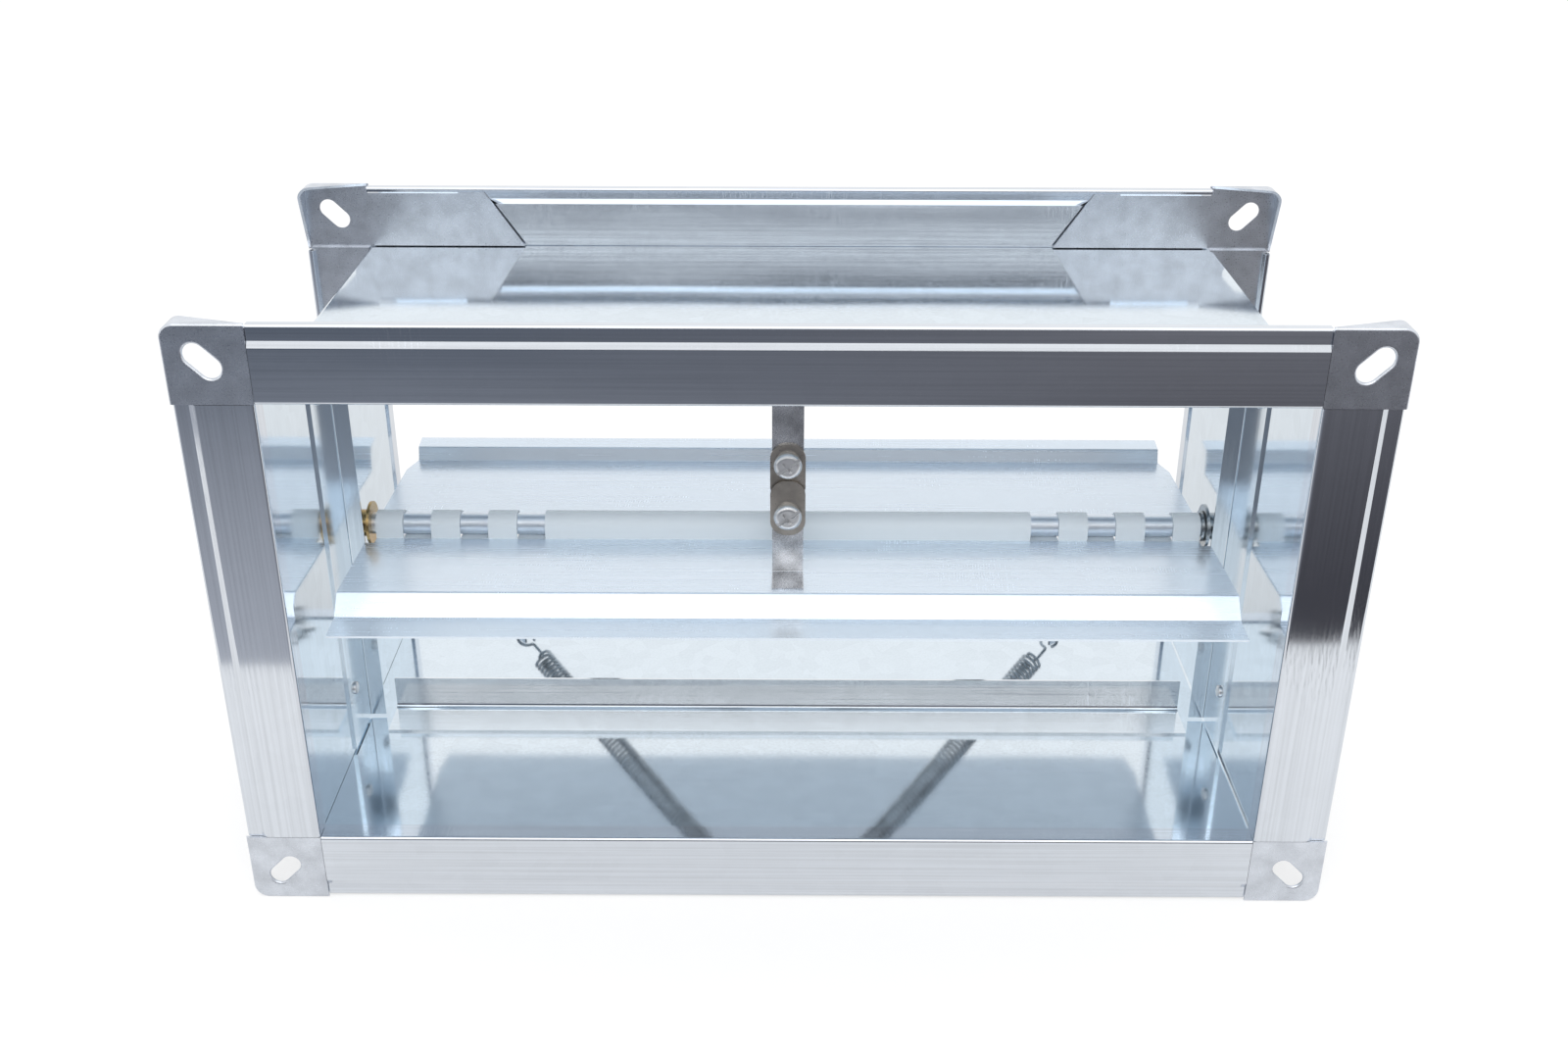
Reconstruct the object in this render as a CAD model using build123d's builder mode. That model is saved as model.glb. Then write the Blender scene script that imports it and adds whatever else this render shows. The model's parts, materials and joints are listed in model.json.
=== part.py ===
from build123d import *
import os
from math import cos, radians, sin, tan

# Rectangular fire damper in galvanised sheet. X is across the duct, Y runs with the air from the
# front flange (Y = 0) to the rear flange, Z is up. The origin is the middle of the front flange's
# mating plane. Sizes are in millimetres and angles in degrees.

# Duct and flanges
duct_width = 400.0
duct_height = 200.0
duct_length = 200.0
flange_height = 32.0
sheet = 0.9
fold_radius = 1.6
arm_clearance = 0.5

# Flange rails
rail_leg = 9.5
rail_pad = 22.4
rail_step = 1.2
rail_slope = 2.6
rail_rim = 6.0
rail_drop = 0.6
rail_hem = 2.2
rail_end_gap = 0.15
rail_bend = 0.9
crimp_length = 43.0

# Flange corners
corner_sheet = 1.2
corner_round = 6.0
corner_edge = 1.1
corner_rim = 11.0
corner_arm_base = 73.0
corner_arm_rim = 54.0
slot_width = 8.4
slot_length = 16.0
slot_edge = 1.1
slot_inset = 14.7
slot_turn = 45.0

# Casing halves
casing_end_gap = 0.4
seam_lip = 10.0
seam_end = 8.0
seam_gap = 0.25

# Side angles
angle_sheet = 1.0
angle_setback = 38.1
angle_wall_leg = 31.0
angle_inner_leg = 8.1
angle_end_gap = 1.5
rivet_setback = 10.0
rivet_z = 72.0

# Blind rivets
rivet_shank = 3.2
rivet_head = 5.8
rivet_head_height = 1.3
rivet_crown = 1.0
rivet_tail = 4.6
rivet_tail_height = 1.4
rivet_clearance = 0.05

# Shaft and bushes
shaft_diameter = 10.0
shaft_offset = 4.1
shaft_z = -0.75
shaft_proud = 3.5
bush_clearance = 0.05
bush_body = 12.4
bush_collar = 20.0
bush_reach = 11.0
bush_collar_length = 1.3
bush_outer_flange = 1.6
ring_thickness = 1.2
ring_diameter = 14.0
ring_gap = 0.4

# Blade, laid out on its own axes: S runs from front to rear along the plate, N stands up from it
blade_sheet = 1.0
blade_tilt = 2.67
blade_side_gap = 8.0
blade_lip_inset = 3.5
front_bend = 61.0
front_joggle_run = 8.0
front_joggle_drop = 8.3
front_lip = 14.4
front_lip_drop = 1.5
rear_bend = 91.2
rear_riser_run = 2.0
rear_riser_rise = 6.7
rear_lip = 8.8
rear_lip_rise = 1.5
rear_chamfer_run = 13.0
window_width = 12.8
window_pitch = 26.0
window_inset = 23.0
window_count = 3
bead_clearance = 0.1
seat_clearance = 0.05
notch_clearance = 1.2
cut_margin = 2.0
cut_reach = 20.0
closed_angle = 81.0

# Stops for the closed blade
stop_sheet = 1.0
stop_gap = 0.7
stop_foot = 21.0
stop_bend = 2.5
stop_side_gap = 11.0
bottom_stop_height = 17.0
top_stop_height = 10.0

# Fusible link and its hanger
strip_width = 13.4
strip_sheet = 1.2
link_width = 15.0
link_sheet = 1.1
link_setback = 42.2
upper_screw_z = 48.3
lower_screw_z = 24.9
link_end = 9.3
link_round = 6.7
link_gap = 0.6
solder_film = 0.15
link_lap = 10.0
strip_edge = 5.7
strip_foot = 17.5
ceiling_foot = 15.0
hanger_rivet_back = 9.0
screw_diameter = 6.0
screw_head = 12.0
screw_head_height = 3.6
screw_crown = 2.3
screw_recess = 1.5
screw_slot = 1.6
screw_cross = 6.0
screw_turn = 35.0
screw_length = 13.5
screw_clearance = 0.05
screw_hole_clearance = 0.2
nut_flats = 10.0
nut_height = 5.0

# Closing springs
spring_outer = 11.5
spring_wire = 1.6
spring_pitch = 2.4
spring_rear_hook = 19.0
spring_front_hook = 24.0
eye_hole = 5.6
eye_ring = 4.4
rear_eye_side = 58.4
rear_eye_inset = 14.8
rear_eye_height = 5.5
front_eye_x = 8.5
front_eye_s = 47.3
front_eye_drop = 5.6
tab_sheet = 1.2
tab_width = 7.6
tab_margin = 4.4
tab_foot = 11.0

half_width = duct_width / 2
half_height = duct_height / 2
wall_x = half_width + sheet
wall_z = half_height + sheet
outer_x = wall_x + sheet
outer_z = wall_z + sheet
shaft_radius = shaft_diameter / 2
shaft_y = duct_length / 2 + shaft_offset
link_plane = shaft_y - link_setback
angle_front = shaft_y - angle_setback
rivet_y = angle_front + rivet_setback
blade_half_width = half_width - blade_side_gap
stop_half_length = half_width - stop_side_gap
rear_eye_x = half_width - rear_eye_side
rear_eye_y = duct_length - rear_eye_inset

os.makedirs("parts", exist_ok=True)


def save(part, name):
    """Label a finished piece and write it under the same name."""
    part.label = name
    export_step(part, f"parts/{name}.step")


def across(y):
    """Plane across the duct at depth y, with local x along X and local y along Z."""
    return Plane.XZ.offset(-y)


def rail_plane(side, end):
    """Section plane of a flange rail: local x runs into the damper, local y away from the duct."""
    outward = {"top": (0, 0, 1), "bottom": (0, 0, -1), "left": (-1, 0, 0), "right": (1, 0, 0)}[side]
    inward = Vector(0, 1 if end == "front" else -1, 0)
    edge = Vector(outward[0] * half_width, 0 if end == "front" else duct_length, outward[2] * half_height)
    return Plane(origin=edge, x_dir=inward, z_dir=inward.cross(Vector(*outward)))


def corner_plane(side_x, side_z, end):
    """Plane of a flange corner at the opening's corner, both local axes pointing away from the duct."""
    into = 1 if end == "front" else -1
    upright = side_x * side_z * into > 0
    x_dir = (0, 0, side_z) if upright else (side_x, 0, 0)
    place = (side_x * half_width, 0 if end == "front" else duct_length, side_z * half_height)
    return Plane(origin=place, x_dir=x_dir, z_dir=(0, into, 0))


def blade_axis(x=0.0, s=0.0, n=0.0):
    """Blade axes at width x, s along the plate and n above the shaft's axis: local x is S, local y is N."""
    tilt = radians(blade_tilt)
    along = Vector(0, cos(tilt), -sin(tilt))
    upward = Vector(0, sin(tilt), cos(tilt))
    origin = Vector(x, shaft_y, shaft_z) + along * s + upward * n
    return Plane(origin=origin, x_dir=along, z_dir=(1, 0, 0))


def swung(s, n):
    """Y and Z of the blade point s, n once the blade has swung shut."""
    turn = radians(closed_angle - blade_tilt)
    return (shaft_y + s * cos(turn) - n * sin(turn), shaft_z + s * sin(turn) + n * cos(turn))


# Flange rails: a leg inside the casing, a proud pad, a stepped-back edge and a rim with a hem,
# crimped down over the corner arms near both ends
arm_depth = sheet + rail_step
rail_edge = flange_height - rail_drop


def flange_rail(side, end):
    """One roll-formed flange rail between two corners."""
    length = (duct_width if side in ("top", "bottom") else duct_height) - 2 * rail_end_gap
    half = sheet / 2
    crimp_depth = arm_depth + corner_sheet + half
    place = rail_plane(side, end)
    with BuildPart() as rail:
        with BuildSketch(place):
            with BuildLine():
                FilletPolyline(
                    (rail_leg, half),
                    (half, half),
                    (half, rail_pad),
                    (half + rail_step, rail_pad + rail_slope),
                    (half + rail_step, rail_edge - half),
                    (rail_rim - half, rail_edge - half),
                    (rail_rim - half, rail_edge - rail_hem),
                    radius=rail_bend,
                )
            trace(line_width=sheet)
        extrude(amount=length / 2, both=True)
        for way in (-1, 1):
            with BuildSketch(place.offset(way * (length - crimp_length) / 2)):
                with BuildLine():
                    Line((rail_rim - half, rail_edge - half), (crimp_depth, rail_edge - sheet - rail_hem))
                trace(line_width=sheet)
            extrude(amount=crimp_length / 2, both=True)
    return rail.part


for end in ("front", "rear"):
    for side in ("top", "bottom", "left", "right"):
        save(flange_rail(side, end), f"{end}_{side}_rail")


# Flange corners: a pressed square face with a diagonal bolt slot, a rim that tapers away towards the
# rails, and two arms that step down behind the rails
arm_base = 2 * sheet + arm_clearance
arm_edge = rail_edge - sheet - arm_clearance


def flange_corner(side_x, side_z, end):
    """One pressed flange corner with its two arms."""
    place = corner_plane(side_x, side_z, end)
    rim_line = flange_height - corner_sheet / 2
    rise = (corner_rim - corner_sheet) / flange_height
    foot = place.from_local_coords((flange_height, 0, corner_sheet))
    slope = place.from_local_coords((-rise, -rise, 1)) - place.origin
    taper = Plane(origin=foot, z_dir=slope)
    slot_centre = flange_height - slot_inset
    with BuildPart() as corner:
        with BuildSketch(place):
            with BuildLine():
                FilletPolyline(
                    (rim_line, 0),
                    (rim_line, rim_line),
                    (0, rim_line),
                    radius=corner_round - corner_sheet / 2,
                )
            trace(line_width=corner_sheet)
        extrude(amount=corner_rim)
        split(bisect_by=taper, keep=Keep.BOTTOM)
        with BuildSketch(place) as face:
            Rectangle(flange_height, flange_height, align=Align.MIN)
            far = face.vertices().sort_by_distance((0, 0))[-1]
            fillet(far, radius=corner_round)
            with Locations((slot_centre, slot_centre)):
                SlotOverall(slot_length, slot_width, rotation=slot_turn, mode=Mode.SUBTRACT)
        extrude(amount=corner_sheet)
        front_edges = corner.edges().filter_by_position(Axis(place.origin, place.z_dir), 0, 0)
        slot_edges = []
        rim_edges = []
        for edge in front_edges:
            spot = place.to_local_coords(edge.center())
            if abs(spot.X - slot_centre) < slot_length / 2 and abs(spot.Y - slot_centre) < slot_length / 2:
                slot_edges.append(edge)
            elif max(spot.X, spot.Y) > rim_line:
                rim_edges.append(edge)
        fillet(slot_edges, radius=slot_edge)
        fillet(rim_edges, radius=corner_edge)
        arm_middle = (arm_base + arm_edge) / 2
        arm_width = arm_edge - arm_base
        with BuildSketch(place):
            with Locations((arm_middle, corner_sheet / 2)):
                Rectangle(arm_width, corner_sheet)
            with Locations((corner_sheet / 2, arm_middle)):
                Rectangle(corner_sheet, arm_width)
        extrude(amount=arm_depth + corner_sheet)
        with BuildSketch(place.offset(arm_depth)):
            Polygon(
                (arm_base, corner_sheet),
                (arm_edge, corner_sheet),
                (arm_edge, -corner_arm_rim),
                (arm_base, -corner_arm_base),
                align=None,
            )
            Polygon(
                (corner_sheet, arm_base),
                (-corner_arm_base, arm_base),
                (-corner_arm_rim, arm_edge),
                (corner_sheet, arm_edge),
                align=None,
            )
        extrude(amount=corner_sheet)
    return corner.part


for end in ("front", "rear"):
    for height, side_z in (("upper", 1), ("lower", -1)):
        for side, side_x in (("left", -1), ("right", 1)):
            save(flange_corner(side_x, side_z, end), f"{end}_{height}_{side}_corner")


# Casing: two folded halves that lap at the lower left and upper right edges of the duct
casing_start = corner_sheet + casing_end_gap
casing_length = duct_length - 2 * casing_start
bush_hole = bush_body + 2 * bush_clearance
rivet_hole = rivet_shank + 2 * rivet_clearance
upper_link_face = link_plane + solder_film
upper_strip_face = upper_link_face + link_sheet
hanger_rivet_y = upper_strip_face + strip_sheet / 2 + hanger_rivet_back


def casing_half(way):
    """A wall and the sheet folded from it: way -1 is the left wall and top, 1 the right wall and floor."""
    wall = way * (wall_x + sheet / 2)
    level = -way * (wall_z + sheet / 2)
    seam_x = -way * outer_x
    with BuildPart() as half:
        with BuildSketch(across(casing_start)):
            with BuildLine():
                FilletPolyline(
                    (wall, way * (wall_z - seam_gap)),
                    (wall, level),
                    (seam_x, level),
                    radius=fold_radius,
                )
            trace(line_width=sheet)
        extrude(amount=-casing_length)
        with BuildSketch(across(seam_end)):
            with Locations((seam_x - way * sheet / 2, -way * (outer_z - seam_lip / 2))):
                Rectangle(sheet, seam_lip)
        extrude(amount=-(duct_length - 2 * seam_end))
        with BuildSketch(Plane.YZ.offset(wall)):
            with Locations((shaft_y, shaft_z)):
                Circle(bush_hole / 2)
            with Locations((rivet_y, rivet_z), (rivet_y, -rivet_z)):
                Circle(rivet_hole / 2)
        extrude(amount=sheet, both=True, mode=Mode.SUBTRACT)
        if way < 0:
            with BuildSketch(Plane.XY.offset(wall_z)):
                with Locations((0, hanger_rivet_y)):
                    Circle(rivet_hole / 2)
            extrude(amount=sheet, both=True, mode=Mode.SUBTRACT)
    return half.part


save(casing_half(-1), "casing_left_and_top")
save(casing_half(1), "casing_right_and_floor")


# Side angles riveted to the walls, with an inner leg that closes the gap beside the blade
def side_angle(way):
    """A folded angle on one wall."""
    face = wall_x - angle_sheet / 2
    back = angle_front + angle_wall_leg - angle_sheet / 2
    with BuildPart() as angle:
        with BuildSketch(Plane.XY.offset(-(wall_z - angle_end_gap))):
            with BuildLine():
                FilletPolyline(
                    (way * face, angle_front),
                    (way * face, back),
                    (way * (wall_x - angle_inner_leg), back),
                    radius=angle_sheet,
                )
            trace(line_width=angle_sheet)
        extrude(amount=2 * (wall_z - angle_end_gap))
        with BuildSketch(Plane.YZ.offset(way * face)):
            with Locations((rivet_y, rivet_z), (rivet_y, -rivet_z)):
                Circle(rivet_hole / 2)
        extrude(amount=angle_sheet, both=True, mode=Mode.SUBTRACT)
    return angle.part


save(side_angle(-1), "left_side_angle")
save(side_angle(1), "right_side_angle")


def rivets(seat, places, grip):
    """Blind rivets with a domed head on the seat plane, pointing away from the sheets they grip."""
    with BuildPart() as group:
        with BuildSketch(seat):
            with Locations(*places):
                Circle(rivet_head / 2)
        extrude(amount=rivet_head_height)
        crown = group.faces().sort_by(Axis(seat.origin, seat.z_dir))[-len(places):]
        fillet(crown.edges(), radius=rivet_crown)
        with BuildSketch(seat):
            with Locations(*places):
                Circle(rivet_shank / 2)
        extrude(amount=-grip)
        with BuildSketch(seat.offset(-grip)):
            with Locations(*places):
                Circle(rivet_tail / 2)
        extrude(amount=-rivet_tail_height)
    return group.part


wall_rivets = [(rivet_y, rivet_z), (rivet_y, -rivet_z)]
left_seat = Plane(origin=(-wall_x + angle_sheet, 0, 0), x_dir=(0, 1, 0), z_dir=(1, 0, 0))
right_seat = Plane(origin=(wall_x - angle_sheet, 0, 0), x_dir=(0, 1, 0), z_dir=(-1, 0, 0))
save(rivets(left_seat, wall_rivets, angle_sheet + sheet), "left_angle_rivets")
save(rivets(right_seat, wall_rivets, angle_sheet + sheet), "right_angle_rivets")


# Blade: one sheet with a lip stepped down at the front and one stepped up at the rear, and a bead
# pressed up over the shaft, with windows near both ends that show the shaft lying on the plate
plate_top = -(shaft_radius + seat_clearance)
plate_middle = plate_top - blade_sheet / 2
front_step_s = -(front_bend + front_joggle_run)
front_tip_s = front_step_s - front_lip
front_step_n = plate_top - front_joggle_drop
front_tip_n = front_step_n - front_lip_drop
rear_step_s = rear_bend + rear_riser_run
rear_tip_s = rear_step_s + rear_lip
rear_step_n = plate_top + rear_riser_rise
rear_tip_n = rear_step_n + rear_lip_rise
bead_inner = shaft_radius + bead_clearance
bead_middle = bead_inner + blade_sheet / 2
bush_face = wall_x - bush_reach
ring_inner_face = bush_face - ring_gap - ring_thickness
notch_x = ring_inner_face - notch_clearance / 2
notch_half = bush_collar / 2 + notch_clearance
plan = Plane(origin=blade_axis().origin, x_dir=(1, 0, 0), z_dir=blade_axis().y_dir)
window_edges = [window_pitch * row + way * window_width / 2 for row in range(window_count) for way in (-1, 1)]
bead_ends = [notch_x] + [blade_half_width - window_inset - edge for edge in window_edges]
bead_edges = sorted(bead_ends + [-end for end in bead_ends])
bead_spans = list(zip(bead_edges[::2], bead_edges[1::2]))

with BuildPart() as blade:
    with BuildSketch(blade_axis()):
        with BuildLine():
            FilletPolyline(
                (front_tip_s, front_tip_n - blade_sheet / 2),
                (front_step_s, front_step_n - blade_sheet / 2),
                (-front_bend, plate_middle),
                (rear_bend, plate_middle),
                (rear_step_s, rear_step_n - blade_sheet / 2),
                (rear_tip_s, rear_tip_n - blade_sheet / 2),
                radius=blade_sheet,
            )
        trace(line_width=blade_sheet)
    extrude(amount=blade_half_width, both=True)
    lip_x = blade_half_width - blade_lip_inset
    with BuildSketch(plan):
        for way in (-1, 1):
            Polygon(
                (way * (blade_half_width + cut_margin), rear_bend - rear_chamfer_run),
                (way * blade_half_width, rear_bend - rear_chamfer_run),
                (way * lip_x, rear_bend),
                (way * lip_x, rear_tip_s + cut_margin),
                (way * (blade_half_width + cut_margin), rear_tip_s + cut_margin),
                align=None,
            )
            with Locations((way * (notch_x + blade_half_width + cut_margin) / 2, 0)):
                Rectangle(blade_half_width + cut_margin - notch_x, 2 * notch_half)
        for low, high in bead_spans:
            with Locations(((low + high) / 2, 0)):
                Rectangle(high - low, 2 * bead_inner)
    extrude(amount=cut_reach, both=True, mode=Mode.SUBTRACT)
    for low, high in bead_spans:
        with BuildSketch(blade_axis(low)):
            with BuildLine():
                Line((-bead_middle, plate_middle), (-bead_middle, 0))
                ThreePointArc((-bead_middle, 0), (0, bead_middle), (bead_middle, 0))
                Line((bead_middle, 0), (bead_middle, plate_middle))
            trace(line_width=blade_sheet)
        extrude(amount=high - low)
save(blade.part, "blade")


# Shaft, its two bushes and the ring that keeps it from sliding
shaft_half = outer_x + shaft_proud

with BuildPart() as shaft:
    with BuildSketch(blade_axis(-shaft_half)):
        Circle(shaft_radius)
    extrude(amount=2 * shaft_half)
save(shaft.part, "shaft")


def bush(way):
    """A flared bush through one wall, with a collar towards the blade."""
    inner = Plane(origin=(way * bush_face, shaft_y, shaft_z), x_dir=(0, 1, 0), z_dir=(way, 0, 0))
    with BuildPart() as sleeve:
        with BuildSketch(inner):
            Circle(bush_collar / 2)
        extrude(amount=bush_collar_length)
        with BuildSketch(inner):
            Circle(bush_body / 2)
        extrude(amount=outer_x - bush_face)
        with BuildSketch(inner.offset(outer_x - bush_face)):
            Circle(bush_collar / 2)
        extrude(amount=bush_outer_flange)
        with BuildSketch(inner):
            Circle(shaft_radius + bush_clearance)
        extrude(amount=outer_x - bush_face + bush_outer_flange, mode=Mode.SUBTRACT)
    return sleeve.part


save(bush(-1), "left_bush")
save(bush(1), "right_bush")

with BuildPart() as retaining_ring:
    with BuildSketch(blade_axis(ring_inner_face)):
        Circle(ring_diameter / 2)
        Circle(shaft_radius + seat_clearance / 2, mode=Mode.SUBTRACT)
    extrude(amount=ring_thickness)
save(retaining_ring.part, "retaining_ring")


# Stops: angles on the floor and ceiling that the lips of the closed blade come up against
lip_back_y = swung(front_tip_s, front_tip_n - blade_sheet)[0]
lip_front_y = min(swung(rear_tip_s, rear_tip_n)[0], swung(rear_step_s, rear_step_n)[0])


def stop_angle(level, height, face_y):
    """A folded angle on the floor or ceiling: its foot runs forward from an upright leg."""
    way = 1 if level < 0 else -1
    foot = level + way * stop_sheet / 2
    with BuildPart() as angle:
        with BuildSketch(Plane.YZ.offset(-stop_half_length)):
            with BuildLine():
                FilletPolyline(
                    (face_y - stop_foot, foot),
                    (face_y, foot),
                    (face_y, level + way * height),
                    radius=stop_bend,
                )
            trace(line_width=stop_sheet)
        extrude(amount=2 * stop_half_length)
    return angle.part


save(stop_angle(-wall_z, bottom_stop_height, lip_back_y + stop_gap + stop_sheet / 2), "bottom_stop")
save(stop_angle(wall_z, top_stop_height, lip_front_y - stop_gap - stop_sheet / 2), "top_stop")


# Fusible link: an upper plate on the ceiling strip and a lower plate on the blade's strip, soldered
# face to face, each clamped to its strip by a pan head screw and a nut
screw_hole = screw_diameter / 2 + screw_hole_clearance
upper_link_low = lower_screw_z + strip_edge + link_gap
lower_link_top = upper_link_low + link_lap


def link_plate(face_y, low, high, screw_z, depth):
    """One link plate with a rounded end round its screw."""
    with BuildPart() as plate:
        with BuildSketch(across(face_y)) as outline:
            with Locations((0, (low + high) / 2)):
                Rectangle(link_width, high - low)
            ends = outline.vertices().group_by(Axis.Z)[-1 if screw_z > (low + high) / 2 else 0]
            fillet(ends, radius=link_round)
            with Locations((0, screw_z)):
                Circle(screw_hole, mode=Mode.SUBTRACT)
        extrude(amount=-depth)
    return plate.part


upper_link_top = upper_screw_z + link_end
lower_link_low = lower_screw_z - link_end
upper_plate = link_plate(upper_link_face, upper_link_low, upper_link_top, upper_screw_z, link_sheet)
lower_plate = link_plate(link_plane, lower_link_low, lower_link_top, lower_screw_z, -link_sheet)
save(upper_plate, "link_upper_plate")
save(lower_plate, "link_lower_plate")

with BuildPart() as upper_strip:
    strip_y = upper_strip_face + strip_sheet / 2
    ceiling = wall_z - strip_sheet / 2
    with BuildSketch(Plane.YZ.offset(-strip_width / 2)):
        with BuildLine():
            FilletPolyline(
                (strip_y + ceiling_foot, ceiling),
                (strip_y, ceiling),
                (strip_y, upper_screw_z - strip_edge),
                radius=strip_sheet,
            )
        trace(line_width=strip_sheet)
    extrude(amount=strip_width)
    with BuildSketch(across(strip_y)):
        with Locations((0, upper_screw_z)):
            Circle(screw_hole)
    extrude(amount=strip_sheet, both=True, mode=Mode.SUBTRACT)
    with BuildSketch(Plane.XY.offset(ceiling)):
        with Locations((0, hanger_rivet_y)):
            Circle(rivet_hole / 2)
    extrude(amount=strip_sheet, both=True, mode=Mode.SUBTRACT)
save(upper_strip.part, "link_upper_strip")

ceiling_seat = Plane(origin=(0, 0, wall_z - strip_sheet), x_dir=(1, 0, 0), z_dir=(0, 0, -1))
save(rivets(ceiling_seat, [(0, -hanger_rivet_y)], strip_sheet + sheet), "link_strip_rivet")


def on_blade(y, z):
    """S and N of a point given by its Y and Z with the blade open."""
    tilt = radians(blade_tilt)
    return (
        (y - shaft_y) * cos(tilt) - (z - shaft_z) * sin(tilt),
        (y - shaft_y) * sin(tilt) + (z - shaft_z) * cos(tilt),
    )


with BuildPart() as lower_strip:
    lower_strip_y = link_plane + strip_sheet / 2
    top_s, top_n = on_blade(lower_strip_y, lower_screw_z + strip_edge)
    foot_n = plate_top + strip_sheet / 2
    bend_s = top_s + (top_n - foot_n) * tan(radians(blade_tilt))
    with BuildSketch(blade_axis(-strip_width / 2)):
        with BuildLine():
            FilletPolyline(
                (bend_s - strip_foot, foot_n),
                (bend_s, foot_n),
                (top_s, top_n),
                radius=strip_sheet,
            )
        trace(line_width=strip_sheet)
    extrude(amount=strip_width)
    with BuildSketch(across(lower_strip_y)):
        with Locations((0, lower_screw_z)):
            Circle(screw_hole)
    extrude(amount=strip_sheet, both=True, mode=Mode.SUBTRACT)
save(lower_strip.part, "link_lower_strip")


def pan_screw(seat_y, z):
    """A pan head screw pointing to the rear, with a cross and slot in its head."""
    seat = across(seat_y)
    with BuildPart() as screw:
        with BuildSketch(seat):
            with Locations((0, z)):
                Circle(screw_head / 2)
        extrude(amount=screw_head_height)
        crown = screw.faces().sort_by(Axis.Y)[0]
        fillet(crown.edges(), radius=screw_crown)
        with BuildSketch(seat.offset(screw_head_height)):
            with Locations((0, z)):
                Rectangle(screw_head, screw_slot, rotation=screw_turn)
                Rectangle(screw_slot, screw_cross, rotation=screw_turn)
        extrude(amount=-screw_recess, mode=Mode.SUBTRACT)
        with BuildSketch(seat):
            with Locations((0, z)):
                Circle(screw_diameter / 2)
        extrude(amount=-screw_length)
    return screw.part


def hex_nut(seat_y, z):
    """A hexagon nut behind a strip."""
    with BuildPart() as nut:
        with BuildSketch(across(seat_y)):
            with Locations((0, z)):
                RegularPolygon(nut_flats / 2, 6, major_radius=False)
                Circle(screw_diameter / 2 + screw_clearance, mode=Mode.SUBTRACT)
        extrude(amount=-nut_height)
    return nut.part


save(pan_screw(upper_link_face, upper_screw_z), "link_upper_screw")
save(pan_screw(link_plane - link_sheet, lower_screw_z), "link_lower_screw")
save(hex_nut(upper_strip_face + strip_sheet, upper_screw_z), "link_upper_nut")
save(hex_nut(link_plane + strip_sheet, lower_screw_z), "link_lower_nut")


# Closing springs under the blade, from an eye on the floor at the rear to a bracket behind the front lip
plate_under = plate_top - blade_sheet
eye_n = plate_under - front_eye_drop
spring_wire_radius = spring_wire / 2

with BuildPart() as spring_bracket:
    bracket_plane = Plane(
        origin=blade_axis(0, -front_eye_s, 0).origin,
        x_dir=(1, 0, 0),
        z_dir=-blade_axis().x_dir,
    )
    bracket_half = front_eye_x + tab_width / 2
    bracket_low = eye_n - tab_margin
    with BuildSketch(bracket_plane):
        with Locations((0, (plate_under + bracket_low) / 2)):
            Rectangle(2 * bracket_half, plate_under - bracket_low)
        with Locations((-front_eye_x, eye_n), (front_eye_x, eye_n)):
            Circle(eye_hole / 2, mode=Mode.SUBTRACT)
    extrude(amount=tab_sheet / 2, both=True)
    with BuildSketch(bracket_plane):
        with Locations((0, plate_under - tab_sheet / 2)):
            Rectangle(2 * bracket_half, tab_sheet)
    extrude(amount=tab_foot)
save(spring_bracket.part, "spring_bracket")

rear_eye_z = -wall_z + rear_eye_height


def spring_line(way):
    """Rear eye, front eye and direction of one spring."""
    rear = Vector(way * rear_eye_x, rear_eye_y, rear_eye_z)
    front = blade_axis(way * front_eye_x, -front_eye_s, eye_n).origin
    return rear, front, (front - rear).normalized()


def spring_anchor(way):
    """A tab with an eye, standing on the floor in line with its spring."""
    rear, _, run = spring_line(way)
    level_run = Vector(run.X, run.Y, 0).normalized()
    aside = level_run.cross(Vector(0, 0, 1))
    place = Plane(origin=(rear.X, rear.Y, -wall_z), x_dir=level_run, z_dir=aside)
    with BuildPart() as tab:
        with BuildSketch(place):
            with Locations((0, (rear_eye_height + tab_margin) / 2)):
                Rectangle(tab_width, rear_eye_height + tab_margin)
            with Locations((0, rear_eye_height)):
                Circle(eye_hole / 2, mode=Mode.SUBTRACT)
        extrude(amount=tab_sheet / 2, both=True)
        with BuildSketch(place):
            with Locations((0, tab_sheet / 2)):
                Rectangle(tab_width, tab_sheet)
        extrude(amount=-tab_foot * way)
    return tab.part


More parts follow.
